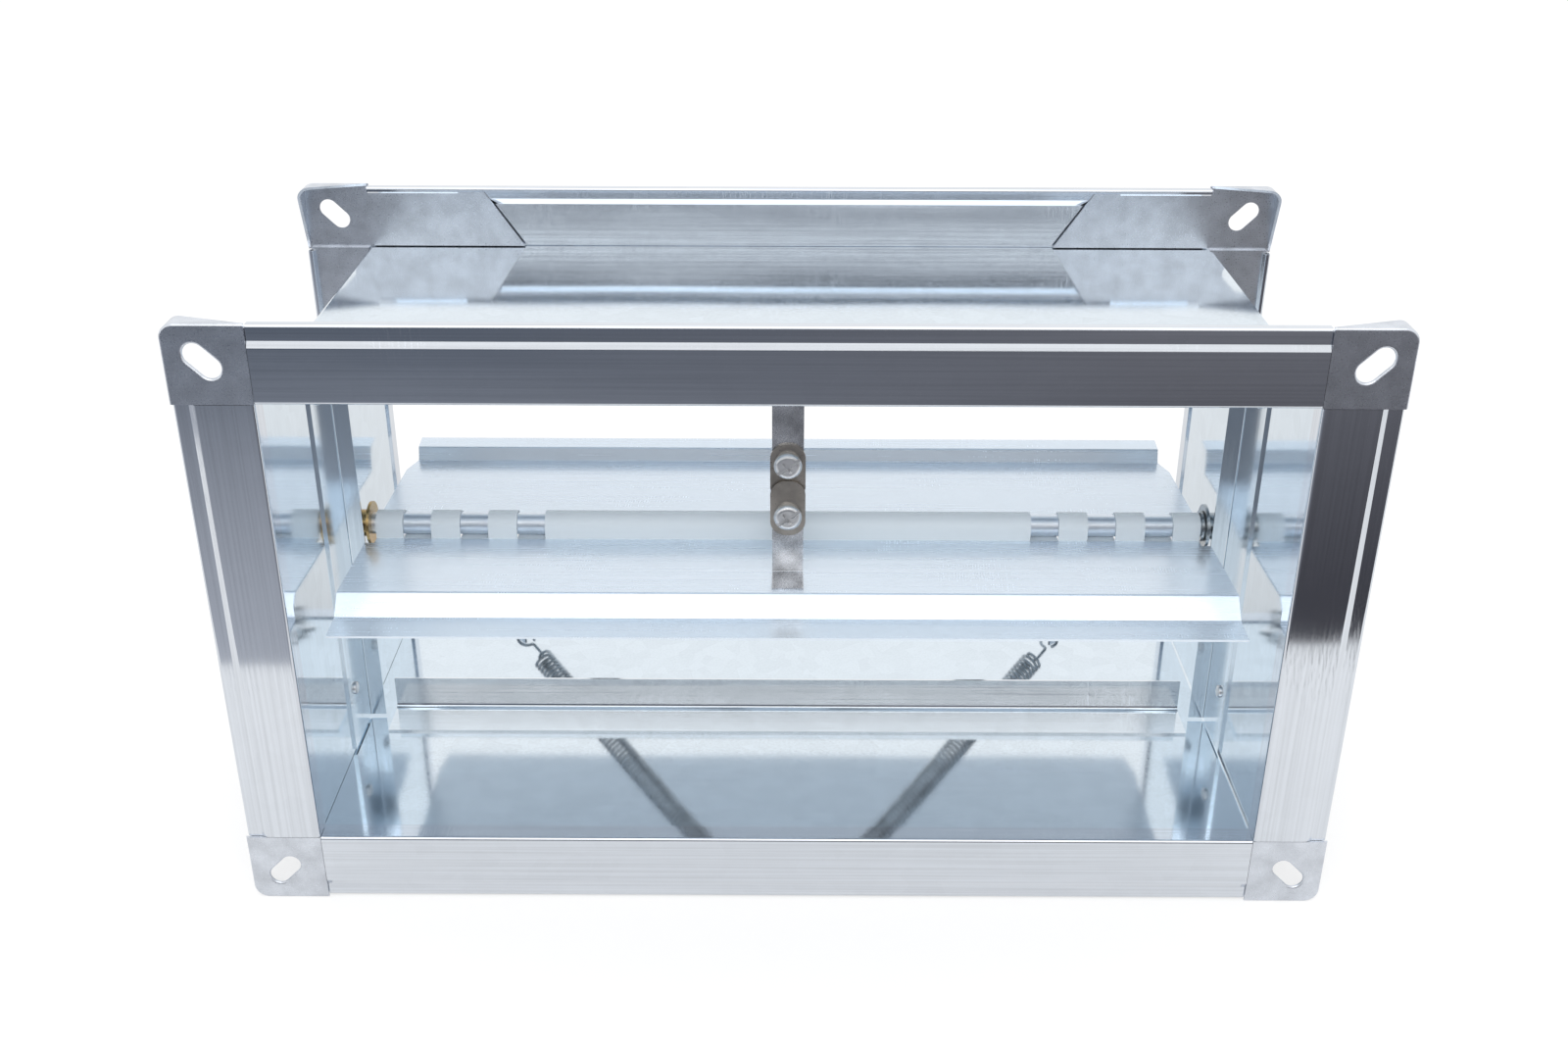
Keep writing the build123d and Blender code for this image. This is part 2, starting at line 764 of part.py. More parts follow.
def closing_spring(way):
    """An extension spring drawn with its turns as ridges, with a straight hook wire and eye at each end."""
    rear, front, run = spring_line(way)
    length = (front - rear).length
    rear_through = Vector(run.X, run.Y, 0).cross(Vector(0, 0, 1)).normalized()
    along_plate = blade_axis().x_dir
    front_through = (along_plate - run * along_plate.dot(run)).normalized()
    turns = int((length - spring_rear_hook - spring_front_hook) / spring_pitch)
    coil_start = spring_rear_hook
    coil_end = coil_start + turns * spring_pitch
    coil_radius = spring_outer / 2
    valley = coil_radius - spring_wire_radius
    bore = coil_radius - spring_wire
    ridges = [(coil_start, valley)]
    for turn in range(turns):
        ridges.append((coil_start + (turn + 0.5) * spring_pitch, coil_radius))
        ridges.append((coil_start + (turn + 1) * spring_pitch, valley))
    with BuildPart() as spring:
        with BuildSketch(Plane(origin=rear, x_dir=run, z_dir=rear_through)):
            with BuildLine():
                Polyline(*ridges, (coil_end, bore), (coil_start, bore), close=True)
            make_face()
        revolve(axis=Axis(rear, run))
        for eye, through, heading, coil in (
            (rear, rear_through, run, coil_start),
            (front, front_through, -run, length - coil_end),
        ):
            hook = Plane(origin=eye, x_dir=heading, z_dir=through)
            with BuildLine(hook) as wire:
                FilletPolyline(
                    (2 * eye_ring, 0),
                    (coil - spring_wire, 0),
                    (coil + spring_wire_radius, bore + spring_wire_radius),
                    radius=spring_wire,
                )
            with BuildSketch(Plane(origin=wire.line @ 0, z_dir=wire.line % 0)):
                Circle(spring_wire_radius)
            sweep(path=wire.line)
            with BuildSketch(hook):
                with Locations((2 * eye_ring, 0)):
                    Circle(spring_wire_radius)
            revolve(axis=Axis(hook.from_local_coords((eye_ring, 0, 0)), hook.y_dir))
    return spring.part


save(spring_anchor(-1), "left_spring_anchor")
save(spring_anchor(1), "right_spring_anchor")
save(closing_spring(-1), "left_spring")
save(closing_spring(1), "right_spring")
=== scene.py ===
"""Finishes, springs and studio for a rectangular fire damper in galvanised sheet."""

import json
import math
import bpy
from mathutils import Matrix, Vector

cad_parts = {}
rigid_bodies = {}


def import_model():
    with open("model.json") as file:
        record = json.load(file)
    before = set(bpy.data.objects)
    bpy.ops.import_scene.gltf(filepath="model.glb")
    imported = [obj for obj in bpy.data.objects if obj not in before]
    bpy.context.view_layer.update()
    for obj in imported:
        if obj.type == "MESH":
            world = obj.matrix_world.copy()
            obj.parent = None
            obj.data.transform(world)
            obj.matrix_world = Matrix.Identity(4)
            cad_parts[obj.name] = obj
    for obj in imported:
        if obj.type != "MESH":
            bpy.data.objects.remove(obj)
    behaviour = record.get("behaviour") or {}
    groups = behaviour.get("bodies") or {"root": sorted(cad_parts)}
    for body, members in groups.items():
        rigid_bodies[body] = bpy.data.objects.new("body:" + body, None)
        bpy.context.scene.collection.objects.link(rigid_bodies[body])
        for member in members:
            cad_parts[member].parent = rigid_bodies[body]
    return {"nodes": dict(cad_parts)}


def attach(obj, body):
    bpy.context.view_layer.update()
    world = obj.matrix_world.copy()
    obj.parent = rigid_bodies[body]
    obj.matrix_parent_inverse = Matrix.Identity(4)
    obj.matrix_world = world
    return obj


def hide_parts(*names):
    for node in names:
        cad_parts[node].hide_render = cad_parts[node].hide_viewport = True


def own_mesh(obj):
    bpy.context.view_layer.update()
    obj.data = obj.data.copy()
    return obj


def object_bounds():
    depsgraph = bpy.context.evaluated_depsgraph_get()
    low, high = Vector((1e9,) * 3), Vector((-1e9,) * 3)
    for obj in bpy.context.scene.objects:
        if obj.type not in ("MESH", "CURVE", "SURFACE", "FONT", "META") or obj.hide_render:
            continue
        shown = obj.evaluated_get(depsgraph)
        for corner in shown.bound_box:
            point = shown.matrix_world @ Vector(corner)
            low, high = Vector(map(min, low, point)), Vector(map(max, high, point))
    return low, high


bl_info = {
    "name": "Rectangular fire damper",
    "version": (1, 0, 0),
    "blender": (4, 5, 0),
    "location": "3D View > Sidebar > Damper",
    "description": "Dresses the packed fire damper and sets it in a plain studio",
    "category": "Object",
}

import bmesh
import bpy
from bpy.props import FloatProperty, FloatVectorProperty, IntProperty, PointerProperty
from mathutils import Matrix, Vector

for start_object in list(bpy.data.objects):
    bpy.data.objects.remove(start_object)
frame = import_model()
cad_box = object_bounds()
nodes = frame["nodes"]
MM = 0.001


def linear(hex_colour):
    """Linear colour of an sRGB hex value."""
    channels = [int(hex_colour[at : at + 2], 16) / 255 for at in (1, 3, 5)]
    return tuple(c / 12.92 if c <= 0.04045 else ((c + 0.055) / 1.055) ** 2.4 for c in channels)


def colour_property(name, description, hex_colour):
    """A colour that a user can change."""
    return FloatVectorProperty(
        name=name, description=description, subtype="COLOR", size=3, min=0, max=1, default=linear(hex_colour)
    )


def length_property(name, description, millimetres):
    """A length that a user can change."""
    return FloatProperty(name=name, description=description, unit="LENGTH", default=millimetres * MM)


def angle_property(name, description, degrees):
    """An angle that a user can change."""
    return FloatProperty(name=name, description=description, subtype="ANGLE", default=math.radians(degrees))


def power_property(name, description, watts):
    """A lamp's power that a user can change."""
    return FloatProperty(name=name, description=description, unit="POWER", default=watts)


def number_property(name, description, value):
    """A plain number that a user can change."""
    return FloatProperty(name=name, description=description, default=value, min=0)


class DamperFinishes(bpy.types.PropertyGroup):
    """Colours of the damper's metals."""

    rail: colour_property("Rails", "Rolled zinc of the flange rails", "#E4E9F0")
    corner: colour_property("Corners", "Pressed zinc of the flange corners", "#E2E7EF")
    casing: colour_property("Casing", "Zinc of the folded casing", "#E4EEF6")
    stop: colour_property("Stops", "Bright zinc of the stops and spring tabs", "#F2F7FB")
    blade: colour_property("Blade", "Zinc of the blade", "#E9F4FF")
    bead: colour_property("Bead", "Matt zinc of the bead over the shaft", "#E0E9EF")
    shaft: colour_property("Shaft", "Ground steel of the shaft", "#F0F7FF")
    brass: colour_property("Brass", "Turned brass of the left bush", "#C6A672")
    bush: colour_property("Bush", "Turned steel of the right bush and the ring", "#B4B9BC")
    strip: colour_property("Strips", "Dull zinc of the hanger strips", "#E8EAEE")
    link: colour_property("Link", "Nickel silver of the link plates", "#C0BAB2")
    fastener: colour_property("Fasteners", "Bright zinc of screws, nuts and rivets", "#F6F7F8")
    spring: colour_property("Springs", "Bare wire of the closing springs", "#E2E6E9")


class DamperSprings(bpy.types.PropertyGroup):
    """Sizes of the closing springs."""

    wire: length_property("Wire", "Diameter of the spring wire", 1.6)
    outside: length_property("Outside", "Diameter over the turns", 11.5)
    pitch: length_property("Pitch", "Distance from turn to turn, as stretched", 2.4)
    eye: length_property("Eye", "Radius of the eyes at the wire's middle", 4.4)
    rear_hook: length_property("Rear hook", "From the rear eye to the turns", 19.0)
    front_hook: length_property("Front hook", "From the front eye to the turns", 24.0)
    bend: length_property("Bend", "Radius of the bends in the hooks", 1.6)
    sides: IntProperty(name="Sides", description="Sides of the wire's section", default=8, min=6)
    steps: IntProperty(name="Steps", description="Steps in each turn", default=18, min=8)


class DamperStudio(bpy.types.PropertyGroup):
    """Camera and light of the plain studio."""

    lens: number_property("Lens", "Focal length in millimetres", 37.616)
    pitch: angle_property("Pitch", "How far the camera looks down", 26.415)
    yaw: angle_property("Yaw", "How far the camera looks to the right", -0.167)
    roll: angle_property("Roll", "Turn of the picture", 0.152)
    place: FloatVectorProperty(
        name="Place",
        description="Where the camera stands",
        subtype="XYZ",
        default=(0.000232, -0.568557, 0.334065),
    )
    lamp: power_property("Softbox", "Power of the softbox in watts", 8.0)
    front_lamp: power_property("Front softbox", "Power of the front softbox in watts", 4.5)
    ambient: number_property("Ambient", "Light from all round", 1.15)
    floor_glow: number_property("Floor glow", "White added to the floor for the eye", 0.54)
    metal_glow: number_property("Metal glow", "White added to the floor for the metal", 0.36)
    table_edge: length_property("Table edge", "From the front flange to the end of the white table", 205.0)
    table_turn: angle_property("Table turn", "How far the table's end is out of square", -2.8)
    near_left: colour_property("Room, near left", "The room beside the table on the left", "#B2B5BD")
    far_left: colour_property("Room, far left", "The room's end on the left", "#565D69")
    near_right: colour_property("Room, near right", "The room beside the table on the right", "#3E3D43")
    far_right: colour_property("Room, far right", "The room's end on the right", "#74747A")
    bar: colour_property("Bar", "The two bars beside the camera", "#343B4C")
    room_turn: length_property("Room turn", "From the middle to where the room has its side's colour", 300.0)
    room_wall: length_property("Room wall", "From the front flange to the room's end", 750.0)
    wall_top: length_property("Wall top", "Top of the room's low wall above the duct's axis", 248.0)
    low_bar: length_property("Low bar", "Lower edge of the low bar above the duct's axis", 345.0)
    low_bar_height: length_property("Low bar height", "Height of the low bar", 22.0)
    high_bar: length_property("High bar", "Lower edge of the high bar above the duct's axis", 413.0)
    high_bar_height: length_property("High bar height", "Height of the high bar", 38.0)


def add_node(tree, kind, inputs, **settings):
    """Add a node with its settings, and give each input a constant or a link."""
    made = tree.nodes.new(kind)
    for name, value in settings.items():
        setattr(made, name, value)
    for key, value in inputs.items():
        if isinstance(value, bpy.types.NodeSocket):
            tree.links.new(value, made.inputs[key])
        else:
            made.inputs[key].default_value = value
    return made


def new_material(name):
    """An empty node material and its tree."""
    material = bpy.data.materials.new(name)
    material.use_nodes = True
    material.node_tree.nodes.clear()
    return material, material.node_tree


def rgba(colour, share=1.0):
    """A colour with its brightness scaled, as a socket takes it."""
    return (*(channel * share for channel in colour), 1.0)


X_RUN, Y_RUN, Z_RUN = 0, 1, 2
QUARTER_TURN = math.pi / 2

# Sizes of a metal's marks in millimetres: rolling streaks, coarser than the real ones so that they show,
# zinc crystals, the strokes left by rolls and the patches they lie in, and clouds of tone
STREAK_GAP = 1.1
STREAK_LENGTH = 160.0
CRYSTAL_SIZE = 8.0
STROKE_GAP = 1.1
STROKE_LENGTH = 7.0
PATCH_SIZE = 40.0
CLOUD_SIZE = 9.0

# How far a mark along the run is drawn out, in widths
WAVE_STRETCH = 6.0
GRAIN_STRETCH = 30.0

# Stretches of a noise's values, which lie around a half, that each pattern is made from
EVEN_SPREAD = (0.3, 0.7)
STREAK_SPREAD = (0.4, 0.7)
STROKE_SPREAD = (0.45, 0.6)
PATCH_SPREAD = (0.48, 0.7)
CLOUD_SPREAD = (0.35, 0.7)

# Shares of a roughness between which it varies, and the share of its colour that dark zinc keeps
ROLLED_DULLNESS = (0.75, 1.35)
SATIN_DULLNESS = (0.85, 1.2)
DARK_ZINC = 0.6

# Scale at which a wave texture has one band in each unit, and how far its bands wander
ONE_BAND = math.tau / 20
BAND_WANDER = 0.3

# The shaft's axis, the reach from it in millimetres that takes in the bead over the shaft, the
# roughness that the bead has beyond the sheet's, and how much of the pale sheet is a mirror
SHAFT_AXIS = (0.0, 0.1041, -0.00075)
BEAD_REACH = 8.1
BEAD_DULLNESS = 0.35
BLADE_METAL = 0.6


def along(run, width, length):
    """Sizes of a mark that is drawn out along one axis, or along none."""
    return [length if axis == run else width for axis in (X_RUN, Y_RUN, Z_RUN)]


def marks(tree, place, sizes, turn=(0, 0, 0)):
    """Coordinates in which a mark of these sizes in millimetres is one unit across."""
    scale = [1 / (size * MM) for size in sizes]
    mapping = add_node(tree, "ShaderNodeMapping", {"Vector": place, "Rotation": turn, "Scale": scale})
    return mapping.outputs["Vector"]


def noise(tree, vector, detail):
    """Smooth noise with marks one unit across."""
    inputs = {"Vector": vector, "Scale": 1.0, "Detail": detail}
    return add_node(tree, "ShaderNodeTexNoise", inputs).outputs["Fac"]


def ramp(tree, value, spread, low=0.0, high=1.0):
    """A value that goes from low to high over a stretch of another value."""
    start, end = spread
    inputs = {"Value": value, "From Min": start, "From Max": end, "To Min": low, "To Max": high}
    return add_node(tree, "ShaderNodeMapRange", inputs).outputs["Result"]


def combine(tree, operation, *values):
    """One step of arithmetic on values."""
    return add_node(tree, "ShaderNodeMath", dict(enumerate(values)), operation=operation).outputs["Value"]


def mixed(tree, factor, first, second):
    """A colour between two."""
    inputs = {"Factor": factor, "A": first, "B": second}
    return add_node(tree, "ShaderNodeMix", inputs, data_type="RGBA").outputs["Result"]


def relief(tree, height, depth, **under):
    """Surface direction of a relief of this depth in millimetres, on top of any relief under it."""
    inputs = {"Strength": 1.0, "Distance": depth * MM, "Height": height, **under}
    return add_node(tree, "ShaderNodeBump", inputs).outputs["Normal"]


def finish_metal(tree, colour, metal, roughness, normal):
    """Close a metal's node tree."""
    inputs = {"Base Color": colour, "Metallic": metal, "Roughness": roughness, "Normal": normal}
    surface = add_node(tree, "ShaderNodeBsdfPrincipled", inputs)
    add_node(tree, "ShaderNodeOutputMaterial", {"Surface": surface.outputs["BSDF"]})


def near_shaft(tree, place):
    """One on the bead over the shaft and nought on the rest of the blade."""
    flat = add_node(tree, "ShaderNodeVectorMath", {0: place, 1: (0.0, 1.0, 1.0)}, operation="MULTIPLY")
    ends = {0: flat.outputs["Vector"], 1: SHAFT_AXIS}
    reach = add_node(tree, "ShaderNodeVectorMath", ends, operation="DISTANCE")
    return combine(tree, "LESS_THAN", reach.outputs["Value"], BEAD_REACH * MM)


def rolled_zinc(
    name,
    colour,
    run,
    roughness,
    streak_depth,
    streak_shade,
    wave_width,
    wave_height,
    spangle,
    scuff_turn,
    scuff,
    bead=None,
):
    """Galvanised sheet off a rolling mill: a bright mirror with fine streaks along the run.

    The zinc crystals show as faint patches, the sheet waves gently between its folds, and the rolls
    leave patches of short diagonal strokes that turn the mirror dull. A bead colour makes the sheet
    paler, and matt where it is pressed up over the shaft.
    """
    material, tree = new_material(name)
    place = add_node(tree, "ShaderNodeTexCoord", {}).outputs["Object"]
    streaks = noise(tree, marks(tree, place, along(run, STREAK_GAP, STREAK_LENGTH)), detail=3.0)

    crystal_place = marks(tree, place, (CRYSTAL_SIZE, CRYSTAL_SIZE, CRYSTAL_SIZE))
    crystals = add_node(tree, "ShaderNodeTexVoronoi", {"Vector": crystal_place, "Scale": 1.0})
    crystal_colour = {"Color": crystals.outputs["Color"]}
    crystal_tone = add_node(tree, "ShaderNodeSeparateColor", crystal_colour).outputs["Red"]

    # Parallel bands, broken into strokes and kept in patches
    stroke_place = marks(tree, place, (STROKE_GAP, STROKE_LENGTH, STROKE_LENGTH), scuff_turn)
    bands = add_node(
        tree,
        "ShaderNodeTexWave",
        {"Vector": stroke_place, "Scale": ONE_BAND, "Distortion": BAND_WANDER, "Detail": 1.0},
        bands_direction="X",
    ).outputs["Fac"]
    breaks = ramp(tree, noise(tree, stroke_place, detail=1.0), STROKE_SPREAD)
    strokes = combine(tree, "MULTIPLY", bands, breaks)
    patches = noise(tree, marks(tree, place, (PATCH_SIZE, PATCH_SIZE, PATCH_SIZE)), detail=2.0)
    scuffs = combine(tree, "MULTIPLY", strokes, ramp(tree, patches, PATCH_SPREAD))

    # Waves in the sheet, drawn out along the run, with the streaks on top
    swell = noise(tree, marks(tree, place, along(run, wave_width, wave_width * WAVE_STRETCH)), detail=0.0)
    wavy = relief(tree, swell, wave_height)
    streaky = relief(tree, streaks, streak_depth, Normal=wavy)

    streak_tone = ramp(tree, streaks, STREAK_SPREAD, high=streak_shade)
    shade = combine(tree, "MULTIPLY_ADD", crystal_tone, spangle, streak_tone)
    shown = mixed(tree, shade, rgba(colour), rgba(colour, DARK_ZINC))
    dull = ramp(tree, streaks, EVEN_SPREAD, *(roughness * share for share in ROLLED_DULLNESS))
    scuffed = combine(tree, "MULTIPLY_ADD", scuffs, scuff, dull)
    metal = 1.0
    if bead is not None:
        on_bead = near_shaft(tree, place)
        shown = mixed(tree, on_bead, shown, rgba(bead))
        scuffed = combine(tree, "MULTIPLY_ADD", on_bead, BEAD_DULLNESS, scuffed)
        metal = combine(tree, "MULTIPLY_ADD", on_bead, -BLADE_METAL, BLADE_METAL)
    finish_metal(tree, shown, metal, scuffed, streaky)
    return material


def satin_metal(name, colour, roughness, grain, grain_depth, run=None, shade=0.8):
    """Metal with a fine even grain, pressed, turned or drawn: softer than a mirror, with cloudy tone.

    A run stretches the grain into lines along that axis.
    """
    material, tree = new_material(name)
    place = add_node(tree, "ShaderNodeTexCoord", {}).outputs["Object"]
    grains = noise(tree, marks(tree, place, along(run, grain, grain * GRAIN_STRETCH)), detail=2.0)
    clouds = noise(tree, marks(tree, place, (CLOUD_SIZE, CLOUD_SIZE, CLOUD_SIZE)), detail=4.0)
    shown = mixed(tree, ramp(tree, clouds, CLOUD_SPREAD), rgba(colour), rgba(colour, shade))
    dull = ramp(tree, grains, EVEN_SPREAD, *(roughness * share for share in SATIN_DULLNESS))
    finish_metal(tree, shown, 1.0, dull, relief(tree, grains, grain_depth))
    return material


def dress(material, *names):
    """Give carried-over solids one material."""
    for name in names:
        mesh = nodes[name].data
        mesh.materials.clear()
        mesh.materials.append(material)


ENDS = ("front", "rear")


class DAMPER_OT_flange_rails(bpy.types.Operator):
    """Finish the roll-formed flange rails"""

    bl_idname = "damper.flange_rails"
    bl_label = "Flange rails"

    def execute(self, context):
        look = {
            "colour": context.scene.damper_finishes.rail,
            "streak_depth": 0.0012,
            "streak_shade": 0.3,
            "wave_width": 22.0,
            "wave_height": 0.16,
            "spangle": 0.05,
            "scuff": 0.14,
        }
        level = rolled_zinc(
            "rolled_zinc_level_rails", run=X_RUN, roughness=0.07, scuff_turn=(0, 0.35, 0), **look
        )
        upright = rolled_zinc(
            "rolled_zinc_upright_rails", run=Z_RUN, roughness=0.08, scuff_turn=(0, 0.7, 0), **look
        )
        dress(level, *(f"{end}_{side}_rail" for end in ENDS for side in ("top", "bottom")))
        dress(upright, *(f"{end}_{side}_rail" for end in ENDS for side in ("left", "right")))
        return {"FINISHED"}


class DAMPER_OT_flange_corners(bpy.types.Operator):
    """Finish the pressed flange corners"""

    bl_idname = "damper.flange_corners"
    bl_label = "Flange corners"

    def execute(self, context):
        colour = context.scene.damper_finishes.corner
        pressed = satin_metal("pressed_zinc_corners", colour, roughness=0.3, grain=0.7, grain_depth=0.0012)
        places = [f"{height}_{side}" for height in ("upper", "lower") for side in ("left", "right")]
        dress(pressed, *(f"{end}_{place}_corner" for end in ENDS for place in places))
        return {"FINISHED"}


class DAMPER_OT_casing(bpy.types.Operator):
    """Finish the folded casing, its side angles, stops and spring tabs"""

    bl_idname = "damper.casing"
    bl_label = "Casing"

    def execute(self, context):
        finishes = context.scene.damper_finishes
        folded = rolled_zinc(
            "rolled_zinc_casing",
            finishes.casing,
            run=Z_RUN,
            roughness=0.08,
            streak_depth=0.0005,
            streak_shade=0.08,
            wave_width=60.0,
            wave_height=0.12,
            spangle=0.12,
            scuff_turn=(0, 0.4, 0.3),
            scuff=0.02,
        )
        angles = rolled_zinc(
            "rolled_zinc_angles",
            finishes.casing,
            run=Z_RUN,
            roughness=0.14,
            streak_depth=0.001,
            streak_shade=0.2,
            wave_width=40.0,
            wave_height=0.05,
            spangle=0.06,
            scuff_turn=(0, 0.4, 0.3),
            scuff=0.03,
        )
        stops = rolled_zinc(
            "rolled_zinc_stops",
            finishes.stop,
            run=X_RUN,
            roughness=0.1,
            streak_depth=0.001,
            streak_shade=0.15,
            wave_width=40.0,
            wave_height=0.05,
            spangle=0.06,
            scuff_turn=(0, 0.5, 0),
            scuff=0.05,
        )
        dress(folded, "casing_left_and_top", "casing_right_and_floor")
        dress(angles, "left_side_angle", "right_side_angle")
        dress(stops, "bottom_stop", "top_stop", "left_spring_anchor", "right_spring_anchor")
        return {"FINISHED"}


class DAMPER_OT_blade(bpy.types.Operator):
    """Finish the blade and the bracket under it"""

    bl_idname = "damper.blade"
    bl_label = "Blade"

    def execute(self, context):
        finishes = context.scene.damper_finishes
        sheet = rolled_zinc(
            "rolled_zinc_blade",
            finishes.blade,
            run=X_RUN,
            roughness=0.22,
            streak_depth=0.0001,
            streak_shade=0.0,
            wave_width=60.0,
            wave_height=0.08,
            spangle=0.05,
            scuff_turn=(0, 0, 0.4),
            scuff=0.03,
            bead=finishes.bead,
        )
        dress(sheet, "blade", "spring_bracket")
        return {"FINISHED"}


class DAMPER_OT_shaft(bpy.types.Operator):
    """Finish the shaft, its bushes and the retaining ring"""

    bl_idname = "damper.shaft"
    bl_label = "Shaft and bushes"

    def execute(self, context):
        finishes = context.scene.damper_finishes
        ground = satin_metal(
            "ground_steel_shaft",
            finishes.shaft,
            roughness=0.42,
            grain=0.4,
            grain_depth=0.0005,
            run=X_RUN,
            shade=0.92,
        )
        turned = {"roughness": 0.28, "grain": 0.5, "grain_depth": 0.002}
        dress(ground, "shaft")
        dress(satin_metal("turned_brass_bush", finishes.brass, **turned), "left_bush")
        dress(satin_metal("turned_steel_bush", finishes.bush, **turned), "right_bush", "retaining_ring")
        return {"FINISHED"}


class DAMPER_OT_fusible_link(bpy.types.Operator):
    """Finish the fusible link and its hanger strips"""

    bl_idname = "damper.fusible_link"
    bl_label = "Fusible link"

    def execute(self, context):
        finishes = context.scene.damper_finishes
        strips = satin_metal(
            "dull_zinc_strips", finishes.strip, roughness=0.26, grain=0.6, grain_depth=0.003, shade=0.6
        )
        plates = satin_metal(
            "nickel_silver_link", finishes.link, roughness=0.32, grain=0.8, grain_depth=0.006, shade=0.6
        )
        dress(strips, "link_upper_strip", "link_lower_strip")
        dress(plates, "link_upper_plate", "link_lower_plate")
        return {"FINISHED"}


class DAMPER_OT_fasteners(bpy.types.Operator):
    """Finish the screws, nuts and rivets"""

    bl_idname = "damper.fasteners"
    bl_label = "Screws, nuts and rivets"

    def execute(self, context):
        colour = context.scene.damper_finishes.fastener
        bright = satin_metal("bright_zinc_fasteners", colour, roughness=0.34, grain=0.5, grain_depth=0.002)
        dress(bright, "link_upper_screw", "link_lower_screw", "link_upper_nut", "link_lower_nut")
        dress(bright, "left_angle_rivets", "right_angle_rivets", "link_strip_rivet")
        return {"FINISHED"}


# Where the springs hook in: the eyes of the floor tabs and of the bracket under the open blade
REAR_EYE = Vector((0.1416, 0.1852, -0.0954))
FRONT_EYE = Vector((0.0085, 0.05631, -0.01018))
PLATE_RUN = Vector((0, 0.99891, -0.04658))

# The turn of an eye, which leaves it open, and the steps in a bend
EYE_TURN = math.radians(310)
BEND_STEPS = 4


def edges_of(parts):
    """The edges among some mesh parts."""
    return [part for part in parts if isinstance(part, bmesh.types.BMEdge)]


def hook(bm, edges, way, origin, side, straight, sizes):
    """Draw a spring's end from its last turn: in to the middle, along the spring and round into an eye."""
    coil = (sizes.outside - sizes.wire) / 2

    def swing(edges, centre, axis, angle, steps):
        turned = bmesh.ops.spin(
            bm,
            geom=edges,
            cent=centre,
            axis=axis,
            angle=angle,
            steps=steps,
            use_merge=False,
            use_duplicate=False,
        )
        return edges_of(turned["geom_last"])

    edges = swing(edges, origin + side * coil / 2, way, math.pi, sizes.steps // 2)
    edges = swing(edges, origin + way * sizes.bend, side, -QUARTER_TURN, BEND_STEPS)
    grown = bmesh.ops.extrude_edge_only(bm, edges=edges)["geom"]
    ring = [part for part in grown if isinstance(part, bmesh.types.BMVert)]
    bmesh.ops.translate(bm, verts=ring, vec=way * straight)
    edges = [edge for edge in edges_of(grown) if all(end in ring for end in edge.verts)]
    top = origin + way * (sizes.bend + straight)
    edges = swing(edges, top, side, -QUARTER_TURN, BEND_STEPS)
    edges = swing(edges, top + way * (sizes.bend + sizes.eye), side, EYE_TURN, sizes.steps)
    bmesh.ops.edgeloop_fill(bm, edges=edges)


def closing_spring(name, way, sizes, material):
    """A wound extension spring from the floor tab on one side to the bracket under the blade."""
    flip = Matrix.Diagonal((way, 1, 1))
    rear = flip @ REAR_EYE
    front = flip @ FRONT_EYE
    run = (front - rear).normalized()
    rear_through = run.cross(Vector((0, 0, 1))).normalized()
    front_through = (PLATE_RUN - run * PLATE_RUN.dot(run)).normalized()
    rear_side = rear_through.cross(-run)
    front_side = front_through.cross(run)
    coil = (sizes.outside - sizes.wire) / 2
    coil_start = rear + run * sizes.rear_hook
    coil_end = front - run * sizes.front_hook
    coil_length = (coil_end - coil_start).length
    part_turn = math.atan2(rear_side.cross(front_side).dot(run), rear_side.dot(front_side)) % math.tau
    turn = round(coil_length / sizes.pitch) * math.tau + part_turn
    steps = round(turn / math.tau * sizes.steps)

    bm = bmesh.new()
    section = bmesh.ops.create_circle(bm, segments=sizes.sides, radius=sizes.wire / 2)["verts"]
    facing = Matrix((rear_side, run, -rear_side.cross(run))).transposed().to_4x4()
    facing.translation = coil_start + rear_side * coil
    bmesh.ops.transform(bm, matrix=facing, verts=section)
    first = list(bm.edges)
    wound = bmesh.ops.spin(
        bm,
        geom=first,
        cent=coil_start,
        axis=run,
        dvec=run * (coil_length / steps),
        angle=turn,
        steps=steps,
        use_merge=False,
        use_duplicate=False,
    )
    last = edges_of(wound["geom_last"])
    eye_room = 2 * sizes.eye + 2 * sizes.bend
    hook(bm, last, run, coil_end, front_side, sizes.front_hook - eye_room, sizes)
    hook(bm, first, -run, coil_start, rear_side, sizes.rear_hook - eye_room, sizes)
    bmesh.ops.recalc_face_normals(bm, faces=bm.faces)
    for face in bm.faces:
        face.smooth = True
    mesh = bpy.data.meshes.new(name)
    bm.to_mesh(mesh)
    bm.free()
    mesh.materials.append(material)
    piece = bpy.data.objects.new(name, mesh)
    bpy.context.scene.collection.objects.link(piece)
    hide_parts(name.replace("wound_", ""))
    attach(piece, "casing")
    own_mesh(piece)


class DAMPER_OT_springs(bpy.types.Operator):
    """Wind the two closing springs with their hooks"""

    bl_idname = "damper.springs"
    bl_label = "Closing springs"

    def execute(self, context):
        colour = context.scene.damper_finishes.spring
        wire = satin_metal(
            "bare_spring_wire", colour, roughness=0.42, grain=0.6, grain_depth=0.002, shade=0.6
        )
        for name, way in (("left_wound_spring", -1), ("right_wound_spring", 1)):
            closing_spring(name, way, context.scene.damper_springs, wire)
        return {"FINISHED"}


def stage_piece(name, bm, material):
    """A mesh of the studio, which isn't part of the damper."""
    mesh = bpy.data.meshes.new(name)
    bm.to_mesh(mesh)
    bm.free()
    mesh.materials.append(material)
    piece = bpy.data.objects.new(name, mesh)
    bpy.context.scene.collection.objects.link(piece)
    return piece


